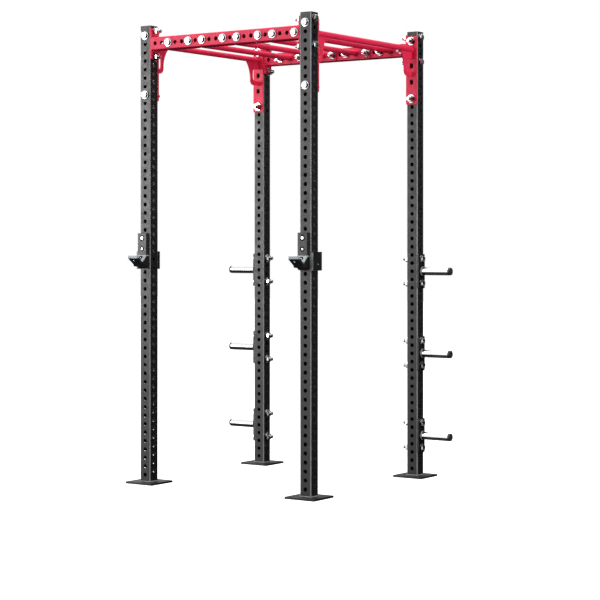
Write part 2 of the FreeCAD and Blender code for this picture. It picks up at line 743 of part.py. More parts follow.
def seat(doc, start, end, share):
    """Placement on the line between two spots of a J-cup's side view, each a pair of
    reach and height, at a share of the way, with +Z along the screw, into the J-cup."""
    first, last = [FreeCAD.Vector(0, size(doc, ahead(x)), size(doc, z)) for x, z in (start, end)]
    along = (last - first).normalize()
    spot = first + (last - first) * share
    return facing((0, along.z, -along.y), *spot)


def saddle_seat(doc):
    """Where the saddle's screw enters its back slope."""
    top = ("Sizes.pad_front", "-Sizes.pad_bottom")
    return seat(doc, ("Sizes.valley_back", "-Sizes.valley_depth"), top, 0.5)


def chin_seat(doc):
    """Where the chin's screw enters the hook from below."""
    share = 1 - size(doc, "Sizes.chin_screw / (Sizes.hook_front - Sizes.chin_reach)")
    nose = ("Sizes.hook_front", "-Sizes.hook_nose")
    return seat(doc, ("Sizes.chin_reach", "-Sizes.chin_depth"), nose, share)


def bore_at(body, name, diameter, length, place_of):
    """Round hole of some length from a placement along its +Z, checked by volume."""
    before = body.Shape.Volume
    hole = body.newObject("PartDesign::SubtractiveCylinder", f"{body.Name}_{name}")
    hole.setExpression("Radius", f"({diameter}) / 2")
    hole.setExpression("Height", length)
    hole.Placement = place_of
    body.Document.recompute()
    if body.Shape.Volume > before - 1:
        raise RuntimeError(f"{hole.Name} cuts nothing")


def make_cup_hook(doc, name, side):
    """Steel hook: side walls and a nose, hollow behind, with a bed for the saddle."""
    body = new_body(doc, f"j_cup_{name}_hook")
    back, skin = "Sizes.cup_gap + Sizes.cup_plate", "Sizes.hook_skin"
    under = "-Sizes.pad_bottom - Sizes.saddle_thick"
    bed = [
        ("Sizes.saddle_low_back", "-Sizes.saddle_low"),
        ("Sizes.saddle_low_front", "-Sizes.saddle_low"),
        ("Sizes.saddle_step", "-Sizes.lip_bottom"),
        ("Sizes.saddle_step", "-Sizes.pad_bottom"),
        ("Sizes.saddle_low_back", "-Sizes.pad_bottom"),
    ]
    walls = [
        (back, under),
        ("Sizes.saddle_root", under),
        ("Sizes.saddle_low_back", "-Sizes.saddle_low"),
        ("Sizes.wall_low", "-Sizes.saddle_low"),
        ("Sizes.wall_step", "-Sizes.lip_bottom"),
        ("Sizes.hook_front", "-Sizes.lip_bottom"),
        ("Sizes.hook_front", "-Sizes.hook_nose"),
        ("Sizes.chin_reach", "-Sizes.chin_depth"),
        ("Sizes.jaw_reach", "-Sizes.jaw_depth"),
        ("Sizes.heel_reach", "-Sizes.heel_depth"),
        ("Sizes.hook_foot", "-Sizes.hook_bottom"),
        (back, "-Sizes.hook_bottom"),
    ]
    inside = [
        (back, f"{under} - {skin}"),
        (f"Sizes.saddle_root - {skin} / 2", f"{under} - {skin}"),
        (f"Sizes.saddle_low_back - {skin} / 2", f"-Sizes.saddle_low - {skin}"),
        (f"Sizes.jaw_reach - {skin}", f"-Sizes.jaw_depth + {skin}"),
        (f"Sizes.heel_reach - {skin} / 2", f"-Sizes.heel_depth + {skin}"),
        (f"Sizes.hook_foot - {skin}", f"-Sizes.hook_bottom + {skin}"),
        (back, f"-Sizes.hook_bottom + {skin}"),
    ]
    profile = new_sketch(body, "YZ_Plane", "walls")
    add_outline(profile, [(ahead(reach), height) for reach, height in walls])
    pad(body, profile, "2 * Sizes.cup_half")
    for part, outline in (("bed", bed), ("inside", inside)):
        hollow = new_sketch(body, "YZ_Plane", part)
        add_outline(hollow, [(ahead(reach), height) for reach, height in outline])
        cut(body, hollow, "2 * (Sizes.cup_half - Sizes.hook_wall)")
    hole = "Sizes.small_shank + Sizes.pin_clearance"
    bore_at(body, "saddle_screw", hole, "Sizes.small_sink + Sizes.saddle_grip", saddle_seat(doc))
    bore_at(body, "chin_screw", hole, "Sizes.chin_grip", chin_seat(doc))
    place_cup_part(body, side)
    return body


def make_cup_saddle(doc, name, side):
    """Plastic liner of the hook's valley, as wide as the hook at its lip and back."""
    body = new_body(doc, f"j_cup_{name}_saddle")
    back, under = "Sizes.cup_gap + Sizes.cup_plate", "-Sizes.pad_bottom - Sizes.saddle_thick"
    slope = [
        (back, "-Sizes.pad_bottom"),
        ("Sizes.pad_front", "-Sizes.pad_bottom"),
        ("Sizes.valley_back", "-Sizes.valley_depth"),
        ("Sizes.saddle_low_back", "-Sizes.saddle_low"),
        ("Sizes.saddle_root", under),
        (back, under),
    ]
    lip = [
        ("Sizes.saddle_step", "-Sizes.lip_bottom"),
        ("Sizes.wall_step", "-Sizes.lip_bottom"),
        ("Sizes.lip_reach", "-Sizes.lip_top"),
        ("Sizes.hook_front", "-Sizes.lip_top"),
        ("Sizes.hook_front", "-Sizes.lip_bottom"),
    ]
    valley = [
        ("Sizes.valley_back", "-Sizes.valley_depth"),
        ("Sizes.valley_front", "-Sizes.valley_depth"),
        ("Sizes.wall_step", "-Sizes.lip_bottom"),
        ("Sizes.saddle_step", "-Sizes.lip_bottom"),
        ("Sizes.saddle_low_front", "-Sizes.saddle_low"),
        ("Sizes.saddle_low_back", "-Sizes.saddle_low"),
    ]
    whole = slope[:3] + valley[1:2] + lip[1:] + [lip[0]] + valley[4:] + slope[4:]
    inner = new_sketch(body, "YZ_Plane", "whole")
    add_outline(inner, [(ahead(reach), height) for reach, height in whole])
    pad(body, inner, "2 * (Sizes.cup_half - Sizes.hook_wall)")
    for part, outline in (("slope", slope), ("lip", lip)):
        section = new_sketch(body, "YZ_Plane", part)
        add_outline(section, [(ahead(reach), height) for reach, height in outline])
        pad(body, section, "2 * Sizes.cup_half")
    hole = "Sizes.small_shank + Sizes.pin_clearance"
    place_of = saddle_seat(doc)
    bore_at(body, "seat", "Sizes.small_head + Sizes.small_play", "Sizes.small_sink", place_of)
    bore_at(body, "saddle_screw", hole, "Sizes.small_sink + Sizes.saddle_grip", place_of)
    bore_at(body, "chin_screw", hole, "Sizes.chin_grip", chin_seat(doc))
    place_cup_part(body, side)
    return body


def make_cup_liner(doc, name, side):
    """Plastic liner between the wing and the upright's side face."""
    body = new_body(doc, f"j_cup_{name}_liner")
    margin = "Sizes.liner_margin"
    half_height = f"(Sizes.cup_bottom - Sizes.wing_top) / 2 - {margin}"
    near, far = "Sizes.tube / 2 + Sizes.cup_gap", "Sizes.tube / 2 + Sizes.wing_reach - Sizes.wing_plate"
    section = new_sketch(body, "YZ_Plane", "section", f"{side} * ({near} + {far}) / 2")
    middle = "-(Sizes.cup_bottom + Sizes.wing_top) / 2"
    spots = four(f"Sizes.tube / 2 - {margin}", half_height)
    add_outline(section, [(y, f"{middle} + ({z})") for y, z in spots])
    pad(body, section, f"{far} - ({near})")
    hole = "Sizes.small_shank + Sizes.pin_clearance"
    drill(body, "YZ_Plane", "screw_hole", hole, [("0", "-Sizes.wing_screw")])
    place_cup_part(body, side)
    return body


def make_cup_pin(doc, name, side):
    """Steel pin, fixed in the plate, that goes through the upright."""
    body = new_body(doc, f"j_cup_{name}_pin")
    radius, taper = "Sizes.pin_diameter / 2", "Sizes.pin_taper"
    front = ahead("Sizes.pad_front + Sizes.pin_proud")
    tail = ahead("-Sizes.tube - Sizes.pin_tail")
    edge = "Sizes.pin_edge"
    spots = [("0", front), (f"{radius} - {edge}", front), (radius, f"{front} + {edge}")]
    spots += [(radius, f"{tail} - {taper}"), (f"{radius} - {taper}", tail), ("0", tail)]
    profile = new_sketch(body, "XY_Plane", "profile")
    add_outline(profile, spots)
    revolve(body, profile, "Y_Axis")
    place_cup_part(body, side)
    return body


def small_screw(place_of, sink, grip):
    """Screw whose head's seat lies sink below a placement, and whose shank goes on."""
    radius, height = SIZES["small_head"] / 2, SIZES["small_height"]
    up = FreeCAD.Vector(0, 0, 1)
    head = Part.makeCylinder(radius, height, up * (sink - height), up)
    shank = Part.makeCylinder(SIZES["small_shank"] / 2, grip, up * sink, up)
    screw = head.fuse(shank).removeSplitter()
    screw.Placement = place_of
    return screw


def make_cup_screws(doc, name, side):
    """The pad's screw, and the small screws of the saddle, the chin and the wing."""
    front = size(doc, ahead("Sizes.pad_front + Sizes.pin_proud"))
    depth = size(doc, "Sizes.pad_front + Sizes.pin_proud - Sizes.cup_gap")
    start = FreeCAD.Vector(0, front, -SIZES["screw_drop"])
    pad_screw = Part.makeCylinder(SIZES["screw_diameter"] / 2, depth, start, FreeCAD.Vector(0, 1, 0))
    wing = facing((-side, 0, 0), side * size(doc, "Sizes.tube / 2 + Sizes.wing_reach"), 0, -SIZES["wing_screw"])
    solids = [
        pad_screw,
        small_screw(saddle_seat(doc), SIZES["small_sink"], SIZES["saddle_grip"]),
        small_screw(chin_seat(doc), 0, SIZES["chin_grip"]),
        small_screw(wing, 0, SIZES["wing_grip"]),
    ]
    item = doc.addObject("Part::Feature", f"j_cup_{name}_screws")
    item.Label = item.Name
    item.Shape = Part.makeCompound(solids)
    place_cup_part(item, side)
    return item


# --- the whole cage --------------------------------------------------------------------

def make_frame(doc):
    items = []
    for name, (sx, sy) in CORNERS.items():
        items.append(make_upright(doc, name, sx, sy))
        items.append(make_foot(doc, name, sx, sy))
        items.append(make_end_plate(doc, name, sx, sy))
        items.append(make_side_plate(doc, name, sx, sy))
        items.append(make_gusset(doc, name, sx, sy))
    items.append(make_upright_caps(doc))
    for name, sy in ENDS.items():
        items.append(make_crossmember(doc, name, sy))
    for name, sx in SIDES.items():
        items.append(make_round_bar(doc, f"side_bar_{name}", f"{sx} * Sizes.half_span"))
    for number, step in enumerate(BAR_STEPS, start=1):
        items.append(make_round_bar(doc, f"monkey_bar_{number}", f"{step} * Sizes.pitch"))
    return items + make_bar_flanges(doc) + make_hardware(doc)


def make_storage(doc):
    items = make_store_plates(doc)
    for side, sx in SIDES.items():
        for number, step in enumerate(PEG_STEPS, start=1):
            items.append(make_peg(doc, side, sx, number, step))
    return items + [make_collars(doc), make_peg_caps(doc)]


def make_cups(doc):
    makers = (make_cup_bracket, make_cup_pad, make_cup_hook, make_cup_saddle)
    makers += (make_cup_liner, make_cup_pin, make_cup_screws)
    return [make(doc, name, side) for name, side in SIDES.items() for make in makers]


def check(doc, items):
    """Stop if anything in the document failed or a sub-part has no sound shape."""
    for item in doc.Objects:
        if "Invalid" in item.State or "Error" in item.State:
            raise RuntimeError(f"{item.Name} failed: {item.State}")
    for item in items:
        if item.Shape.isNull() or not item.Shape.isValid() or not item.Shape.Solids:
            raise RuntimeError(f"{item.Label} has no valid shape")


def main():
    doc = FreeCAD.newDocument("power_cage")
    make_sheet(doc)
    items = make_frame(doc) + make_storage(doc) + make_cups(doc)
    doc.recompute()
    check(doc, items)
    os.makedirs("parts", exist_ok=True)
    for item in items:
        item.Shape.exportStep(f"parts/{item.Label}.step")
        print(f"{item.Label}: {len(item.Shape.Solids)} solids, {item.Shape.Volume:.0f} mm3")


main()
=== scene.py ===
"""Looks of the power cage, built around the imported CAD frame. Metres, +Z up."""
import json
import math

import bmesh
import bpy
import numpy as np
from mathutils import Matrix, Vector


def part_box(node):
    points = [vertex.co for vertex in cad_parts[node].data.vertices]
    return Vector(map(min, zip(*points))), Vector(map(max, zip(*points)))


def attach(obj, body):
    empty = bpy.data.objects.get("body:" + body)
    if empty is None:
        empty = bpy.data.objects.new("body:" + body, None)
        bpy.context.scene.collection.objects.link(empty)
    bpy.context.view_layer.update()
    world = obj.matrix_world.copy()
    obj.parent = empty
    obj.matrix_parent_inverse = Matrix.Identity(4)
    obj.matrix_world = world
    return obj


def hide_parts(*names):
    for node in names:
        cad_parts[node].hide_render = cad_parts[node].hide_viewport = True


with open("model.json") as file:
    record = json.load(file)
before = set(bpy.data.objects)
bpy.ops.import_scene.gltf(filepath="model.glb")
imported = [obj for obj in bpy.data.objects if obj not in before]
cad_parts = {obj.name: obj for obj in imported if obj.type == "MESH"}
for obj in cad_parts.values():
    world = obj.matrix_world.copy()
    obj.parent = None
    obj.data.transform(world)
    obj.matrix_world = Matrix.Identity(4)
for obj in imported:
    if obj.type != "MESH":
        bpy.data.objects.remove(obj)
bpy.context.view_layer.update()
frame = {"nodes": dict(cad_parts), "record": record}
NODES = frame["nodes"]
BODIES = {node: body for body, members in frame["record"]["behaviour"]["bodies"].items() for node in members}
CORNERS = ("front_left", "front_right", "rear_left", "rear_right")
SIDES = ("left", "right")
MONKEY_BARS = range(1, 5)
MM = 0.001
UP = np.array((0.0, 0.0, 1.0))
SEED = 7


# --- camera, lights and floor ----------------------------------------------------------

CAMERA_PLACE = (6.3509, -9.0447, 1.4410)
CAMERA_TURN = math.radians(34.567)
CAMERA_LENS, CAMERA_SENSOR = 108.36, 36
CAMERA_SHIFT = -0.0931


def make_camera():
    """Level camera in front and to the right of the cage, framed by a small shift."""
    data = bpy.data.cameras.new("camera")
    data.lens = CAMERA_LENS
    data.sensor_width = CAMERA_SENSOR
    data.shift_y = CAMERA_SHIFT
    data.clip_end = 100
    camera = bpy.data.objects.new("camera", data)
    camera.location = CAMERA_PLACE
    camera.rotation_euler = (math.radians(90), 0, CAMERA_TURN)
    bpy.context.scene.collection.objects.link(camera)
    bpy.context.scene.camera = camera


def add_softbox(name, place, target, size, power, glossy):
    """Rectangular area light that faces a point. Only a glossy one shows in reflections."""
    data = bpy.data.lights.new(name, "AREA")
    data.shape = "RECTANGLE"
    data.size, data.size_y = size
    data.energy = power
    light = bpy.data.objects.new(name, data)
    light.visible_glossy = glossy
    light.location = place
    aim = Vector(target) - Vector(place)
    light.rotation_euler = aim.to_track_quat("-Z", "Y").to_euler()
    bpy.context.scene.collection.objects.link(light)


# Name, place, target, size and power of each softbox, and whether it shows in reflections.
SOFTBOXES = (
    ("sheen", (-5.4, -5.2, 2.3), (0, 0, 2.0), (2.6, 2.8), 258, True),
    ("panel", (-2.6, -5.6, 2.6), (0.4, 0, 2.3), (4.6, 3.4), 48, True),
    ("front", (0, -5.5, 4.6), (0, 0, 2.2), (6, 2.5), 70, False),
    ("right", (5.8, 0, 2.6), (0, 0, 2.2), (6, 4.0), 345, False),
    ("top", (-1.0, 0, 6.0), (0, 0, 0), (5, 4), 270, True),
    ("rear", (-0.5, 7.5, 4.6), (0, 0, 1.6), (4, 3), 80, True),
)

# Bright parts of the room: each fades in over a range of cosines to one direction, times
# a range of cosines to another, and has a strength.
ROOM = (
    ((-0.9, -0.25, 0.35), 0.34, 0.50, (0, 0, 1), -0.42, -0.27, 0.95),
    ((0, 0, -1), 0.70, 0.92, (-1, -0.2, 0), -1.0, 0.3, 0.12),
    ((0.55, 0.83, 0.07), 0.986, 0.995, (0, 0, 1), -0.4, -0.2, 0.35),
    ((-0.2, 0.8, 0.6), 0.72, 0.92, (0, 0, 1), 0.3, 0.6, 0.6),
    ((0.7, -0.1, 0.7), 0.75, 0.92, (0, 0, 1), 0.3, 0.6, 0.6),
)


def make_lights():
    for softbox in SOFTBOXES:
        add_softbox(*softbox)


def make_world():
    """White backdrop for the camera. Surfaces see a studio that is dark but for the
    bright parts of ROOM."""
    world = bpy.data.worlds.new("studio")
    world.use_nodes = True
    nodes, links = world.node_tree.nodes, world.node_tree.links
    nodes.clear()
    output = nodes.new("ShaderNodeOutputWorld")
    mix = nodes.new("ShaderNodeMixShader")
    path = nodes.new("ShaderNodeLightPath")
    white = nodes.new("ShaderNodeBackground")
    white.inputs["Color"].default_value = (1, 1, 1, 1)
    room = nodes.new("ShaderNodeBackground")
    room.inputs["Color"].default_value = (1, 1, 1, 1)
    coords = nodes.new("ShaderNodeTexCoord").outputs["Generated"]

    def fade(direction, start, end, top):
        facing = nodes.new("ShaderNodeVectorMath")
        facing.operation = "DOT_PRODUCT"
        facing.inputs[1].default_value = Vector(direction).normalized()
        links.new(coords, facing.inputs[0])
        ramp = nodes.new("ShaderNodeMapRange")
        ramp.interpolation_type = "SMOOTHSTEP"
        for socket, number in zip(("From Min", "From Max", "To Max"), (start, end, top)):
            ramp.inputs[socket].default_value = number
        links.new(facing.outputs["Value"], ramp.inputs["Value"])
        return ramp.outputs[0]

    def combined(operation, first, second):
        node = nodes.new("ShaderNodeMath")
        node.operation = operation
        links.new(first, node.inputs[0])
        links.new(second, node.inputs[1])
        return node.outputs[0]

    total = None
    for first, start, end, second, low, high, strength in ROOM:
        ranges = fade(first, start, end, strength), fade(second, low, high, 1.0)
        part = combined("MULTIPLY", *ranges)
        total = part if total is None else combined("ADD", total, part)
    links.new(total, room.inputs["Strength"])
    links.new(path.outputs["Is Camera Ray"], mix.inputs[0])
    links.new(room.outputs[0], mix.inputs[1])
    links.new(white.outputs[0], mix.inputs[2])
    links.new(mix.outputs[0], output.inputs[0])
    bpy.context.scene.world = world


def make_floor():
    """Plain pale floor under the cage, bright enough to meet the white backdrop."""
    squares, reach, paleness = 8, 30, 0.6
    bm = bmesh.new()
    bmesh.ops.create_grid(bm, x_segments=squares, y_segments=squares, size=reach)
    floor = new_object("floor", bm)
    material = bpy.data.materials.new("pale_floor")
    material.use_nodes = True
    shader = material.node_tree.nodes["Principled BSDF"]
    shader.inputs["Base Color"].default_value = (paleness, paleness, paleness, 1)
    shader.inputs["Roughness"].default_value = 0.9
    shader.inputs["Emission Color"].default_value = (1, 1, 1, 1)
    shader.inputs["Emission Strength"].default_value = 1.0
    floor.data.materials.append(material)
    floor.visible_diffuse = False
    floor.visible_glossy = False


# --- materials -------------------------------------------------------------------------

# Sockets of a Mix node that mixes colours.
FIRST_COLOUR, SECOND_COLOUR, MIXED_COLOUR = 6, 7, 2


class Finish:
    """A Principled material and the nodes that feed it, in object coordinates."""

    def __init__(self, name):
        self.material = bpy.data.materials.new(name)
        self.material.use_nodes = True
        self.tree = self.material.node_tree
        self.surface = self.tree.nodes["Principled BSDF"]
        self.coords = self.add("ShaderNodeTexCoord").outputs["Object"]

    def add(self, kind, **settings):
        node = self.tree.nodes.new(kind)
        for key, setting in settings.items():
            setattr(node, key, setting)
        return node

    def link(self, source, target):
        self.tree.links.new(source, target)

    def noise(self, scale, detail=4.0, stretch=(1, 1, 1)):
        """Noise between 0 and 1, with scale in features a metre."""
        mapping = self.add("ShaderNodeMapping")
        mapping.inputs["Scale"].default_value = stretch
        node = self.add("ShaderNodeTexNoise")
        node.inputs["Scale"].default_value = scale
        node.inputs["Detail"].default_value = detail
        self.link(self.coords, mapping.inputs["Vector"])
        self.link(mapping.outputs[0], node.inputs["Vector"])
        return node.outputs["Fac"]

    def cells(self, scale):
        node = self.add("ShaderNodeTexVoronoi")
        node.inputs["Scale"].default_value = scale
        self.link(self.coords, node.inputs["Vector"])
        return node.outputs["Color"]

    def band(self, source, low, high, start=0.0, end=1.0):
        """Map the part of a value between low and high to start..end, and clamp it."""
        node = self.add("ShaderNodeMapRange")
        for socket, number in zip(("From Min", "From Max", "To Min", "To Max"), (low, high, start, end)):
            node.inputs[socket].default_value = number
        self.link(source, node.inputs["Value"])
        return node.outputs[0]

    def math(self, operation, first, second):
        node = self.add("ShaderNodeMath", operation=operation)
        self.link(first, node.inputs[0])
        if isinstance(second, (int, float)):
            node.inputs[1].default_value = second
        else:
            self.link(second, node.inputs[1])
        return node.outputs[0]

    def blend(self, factor, first, second):
        """Mix two colours, each a tuple or a socket."""
        node = self.add("ShaderNodeMix", data_type="RGBA")
        self.link(factor, node.inputs["Factor"])
        for number, colour in ((FIRST_COLOUR, first), (SECOND_COLOUR, second)):
            socket = node.inputs[number]
            if isinstance(colour, tuple):
                socket.default_value = (*colour, 1)
            else:
                self.link(colour, socket)
        return node.outputs[MIXED_COLOUR]

    def edges(self, radius):
        """How far the surface turns away within a radius: 0 on flats, 1 on sharp edges."""
        bevel = self.add("ShaderNodeBevel", samples=4)
        bevel.inputs["Radius"].default_value = radius
        normal = self.add("ShaderNodeNewGeometry").outputs["Normal"]
        dot = self.add("ShaderNodeVectorMath", operation="DOT_PRODUCT")
        self.link(bevel.outputs[0], dot.inputs[0])
        self.link(normal, dot.inputs[1])
        return self.band(dot.outputs["Value"], 0.98, 0.72)

    def corners(self):
        """Mask of a painted highlight: 1 on upright edges that are rounded between the X
        and Y faces, 0 on the faces.
        """
        split = self.add("ShaderNodeSeparateXYZ")
        self.link(self.add("ShaderNodeNewGeometry").outputs["Normal"], split.inputs[0])
        both = self.math("MULTIPLY", split.outputs["X"], split.outputs["Y"])
        return self.band(self.math("ABSOLUTE", both, 0.0), 0.06, 0.22)

    def bump(self, height, distance, strength, under=None):
        node = self.add("ShaderNodeBump")
        node.inputs["Strength"].default_value = strength
        node.inputs["Distance"].default_value = distance
        self.link(height, node.inputs["Height"])
        if under is not None:
            self.link(under, node.inputs["Normal"])
        return node.outputs[0]

    def finish(self, colour, roughness, normal, metallic=0.0, specular=0.5):
        self.link(colour, self.surface.inputs["Base Color"])
        self.link(roughness, self.surface.inputs["Roughness"])
        self.link(normal, self.surface.inputs["Normal"])
        self.surface.inputs["Metallic"].default_value = metallic
        self.surface.inputs["Specular IOR Level"].default_value = specular
        return self.material


def shade(colour, factor):
    return tuple(channel * factor for channel in colour)


def powder_coat(name, colour, worn_and_highlight, gloss, specular=0.5, corner=None):
    """Textured powder coat: orange peel, slow colour drift, paler edges that are partly
    thin paint and partly a painted edge highlight, and a painted highlight on rounded
    corners if a colour for it is given."""
    paint = Finish(name)
    drift = paint.band(paint.noise(2.4, 3), 0.3, 0.7)
    mottle = paint.band(paint.noise(70, 6), 0.3, 0.7)
    base = paint.blend(drift, shade(colour, 0.86), shade(colour, 1.10))
    base = paint.blend(paint.math("MULTIPLY", mottle, 0.35), base, shade(colour, 0.80))
    # Painted highlight: the rounded corners take a paler colour where light catches them.
    if corner is not None:
        base = paint.blend(paint.corners(), base, corner)
    # Paler edges, chipped by noise: partly worn thin paint, partly a painted edge highlight.
    chips = paint.band(paint.noise(240, 5), 0.42, 0.62)
    wear_and_highlight = paint.math("MULTIPLY", paint.edges(1.6 * MM), paint.band(chips, 0, 1, 0.35, 0.9))
    base = paint.blend(wear_and_highlight, base, worn_and_highlight)
    rough = paint.band(paint.noise(28, 5), 0.3, 0.7, gloss - 0.07, gloss + 0.09)
    peel = paint.bump(paint.noise(420, 2), 0.25 * MM, 0.35)
    grain = paint.bump(paint.noise(1500, 3), 0.10 * MM, 0.5, under=peel)
    return paint.finish(base, rough, grain, specular=specular)


def plated(name, colour, rough, spangle):
    """Bright plated steel: soft spangle, faint smears, fine scratches, and paler edges that
    are partly wear and partly a painted edge highlight.
    """
    metal = Finish(name)
    tone = metal.blend(metal.cells(spangle), shade(colour, 0.90), colour)
    smear = metal.noise(35, 5)
    tone = metal.blend(metal.band(smear, 0.45, 0.8, 0.0, 0.35), tone, shade(colour, 0.72))
    # Paler edges: partly wear, partly a painted edge highlight.
    wear_and_highlight = metal.math("MULTIPLY", metal.edges(0.8 * MM), 0.4)
    tone = metal.blend(wear_and_highlight, tone, (0.97, 0.97, 0.97))
    gloss = metal.band(smear, 0.3, 0.75, rough * 0.7, rough * 1.6)
    scratches = metal.bump(metal.noise(260, 6, (1, 1, 9)), 0.03 * MM, 0.25)
    dimples = metal.bump(metal.noise(900, 2), 0.02 * MM, 0.3, under=scratches)
    return metal.finish(tone, gloss, dimples, metallic=1.0)


def machined_plastic(name, colour, rough, cut):
    """Sawn and milled plastic sheet: fine cutter lines, scuffs, and paler edges that are
    partly wear and partly a painted edge highlight.
    """
    plastic = Finish(name)
    lines = plastic.noise(cut, 3, (1, 1, 6))
    scuff = plastic.band(plastic.noise(60, 6), 0.5, 0.75)
    base = plastic.blend(plastic.band(lines, 0.3, 0.7), shade(colour, 0.9), shade(colour, 1.08))
    base = plastic.blend(plastic.math("MULTIPLY", scuff, 0.35), base, shade(colour, 1.35))
    # Paler edges: partly wear, partly a painted edge highlight.
    pale = plastic.math("MULTIPLY", plastic.edges(1.2 * MM), 0.55)
    base = plastic.blend(pale, base, shade(colour, 1.7))
    gloss = plastic.band(plastic.noise(90, 4), 0.3, 0.7, rough - 0.08, rough + 0.1)
    relief = plastic.bump(lines, 0.08 * MM, 0.4)
    return plastic.finish(base, gloss, relief)


def moulded_plastic(name, colour, rough, specular=0.5):
    """Moulded plastic with a spark-eroded grain, polished high spots, and paler edges that
    are partly rubbed and partly a painted edge highlight.
    """
    plastic = Finish(name)
    spots = plastic.noise(1100, 2)
    base = plastic.blend(plastic.band(plastic.noise(40, 5), 0.35, 0.7), colour, shade(colour, 1.5))
    # Paler edges: partly rubbed plastic, partly a painted edge highlight.
    rub_and_highlight = plastic.math("MULTIPLY", plastic.edges(1.0 * MM), 0.5)
    base = plastic.blend(rub_and_highlight, base, shade(colour, 2.6))
    gloss = plastic.band(plastic.noise(120, 4), 0.3, 0.7, rough - 0.1, rough + 0.1)
    return plastic.finish(base, gloss, plastic.bump(spots, 0.06 * MM, 0.5), specular=specular)


def make_materials():
    """Every material of the record's slots, and the two that only scene pieces have."""
    grey, black = (0.0065, 0.0065, 0.0066), (0.0055, 0.0056, 0.0058)
    # The corner grey is a painted highlight for the uprights' rounded corners.
    # The worn greys pale the edges, partly as worn paint and partly as a painted edge highlight.
    grey_worn_and_highlight, grey_corner_highlight = (0.16, 0.16, 0.165), (0.24, 0.24, 0.243)
    red = (0.68, 0.020, 0.070)
    return {
        "charcoal_paint": powder_coat("charcoal_paint", grey, grey_worn_and_highlight, 0.42, 0.5, grey_corner_highlight),
        "black_paint": powder_coat("black_paint", black, (0.12, 0.12, 0.12), 0.45),
        "black_steel": powder_coat("black_steel", black, (0.12, 0.12, 0.12), 0.40),
        "red_paint": powder_coat("red_paint", red, (0.80, 0.12, 0.17), 0.40, 0.2),
        "peg_chrome": plated("peg_chrome", (0.90, 0.905, 0.91), 0.055, 60),
        "zinc_hardware": plated("zinc_hardware", (0.84, 0.85, 0.86), 0.20, 260),
        "black_plastic": moulded_plastic("black_plastic", (0.015, 0.015, 0.016), 0.45),
        # Matte black for the rings that paint the shade in the screw seats and on the saddle.
        "shade_ring_black": moulded_plastic("shade_ring_black", (0.006, 0.006, 0.006), 0.85, 0.05),
        "cup_paint": powder_coat("cup_paint", (0.008, 0.008, 0.0082), (0.14, 0.14, 0.14), 0.40, 0.4),
        "cup_pad_plastic": machined_plastic("cup_pad_plastic", (0.014, 0.0145, 0.015), 0.42, 420),
        # Pale grey strip: partly the plastic's own colour, partly a painted sheen on the wing's front.
        "wear_strip_and_sheen": machined_plastic("wear_strip_and_sheen", (0.25, 0.25, 0.252), 0.5, 420),
        "cup_liner_plastic": machined_plastic("cup_liner_plastic", (0.27, 0.31, 0.325), 0.42, 420),
        "cup_steel": plated("cup_steel", (0.90, 0.90, 0.91), 0.14, 400),
    }


# --- mesh helpers ----------------------------------------------------------------------

CREASE = math.radians(24)
FLAT = math.radians(1)
BEVELLED_FROM = math.radians(40)
ROUND_SPOTS = 48


def new_object(name, bm):
    """Object from a bmesh, which is freed."""
    mesh = bpy.data.meshes.new(name)
    bm.to_mesh(mesh)
    bm.free()
    return link_object(name, mesh)


def link_object(name, mesh):
    item = bpy.data.objects.new(name, mesh)
    bpy.context.scene.collection.objects.link(item)
    return item


def finish_piece(piece, slot, body="frame", stands_for=(), material=None):
    """Smooth a piece between its creases, give it a material, parent it to its body, and
    hide the CAD nodes it stands for.
    """
    piece.data.polygons.foreach_set("use_smooth", [True] * len(piece.data.polygons))
    piece.data.set_sharp_from_angle(angle=CREASE)
    piece.data.materials.clear()
    piece.data.materials.append(materials[material or slot])
    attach(piece, body)
    if stands_for:
        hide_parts(*stands_for)


def split_solids(node):
    """Corner points, face normals and face areas of each separate solid of a CAD node."""
    mesh = NODES[node].data
    keys = {}
    index = [keys.setdefault(tuple(round(c, 6) for c in v.co), len(keys)) for v in mesh.vertices]
    parent = list(range(len(keys)))

    def root(item):
        while parent[item] != item:
            parent[item] = parent[parent[item]]
            item = parent[item]
        return item

    for edge in mesh.edges:
        first, second = (root(index[corner]) for corner in edge.vertices)
        parent[first] = second
    groups = {}
    for point, item in keys.items():
        groups.setdefault(root(item), ([], [], []))[0].append(point)
    for face in mesh.polygons:
        _, normals, areas = groups[root(index[face.vertices[0]])]
        normals.append(tuple(face.normal))
        areas.append(face.area)
    return [tuple(np.array(part) for part in group) for group in groups.values()]


def solids_of(node):
    return [points for points, _, _ in split_solids(node)]


def strips(rings, cyclic, capped):
    """Vertices and faces of a skin through equal rings of points. cyclic joins the last
    ring to the first; capped closes both ends."""
    count = len(rings[0])
    faces = []
    pairs = len(rings) if cyclic else len(rings) - 1
    for row in range(pairs):
        here, there = row * count, ((row + 1) % len(rings)) * count
        for spot in range(count):
            after = (spot + 1) % count
            faces.append((here + spot, here + after, there + after, there + spot))
    if capped:
        faces.append(tuple(reversed(range(count))))
        faces.append(tuple(range((len(rings) - 1) * count, len(rings) * count)))
    return np.concatenate(rings), faces


def turned(profile, count):
    """Rings of a turned profile of (radius, z) pairs; a radius may be one per angle."""
    angles = np.arange(count) * 2 * math.pi / count
    rings = []
    for radius, z in profile:
        radius, z = np.broadcast_to(radius, count), np.broadcast_to(z, count)
        rings.append(np.stack([radius * np.cos(angles), radius * np.sin(angles), z], axis=1))
    return rings


def axes_from(direction, corner):
    """Rotation whose columns are the corner direction, a third axis and the direction."""
    across = np.cross(direction, corner)
    return np.stack([corner, across, direction], axis=1)


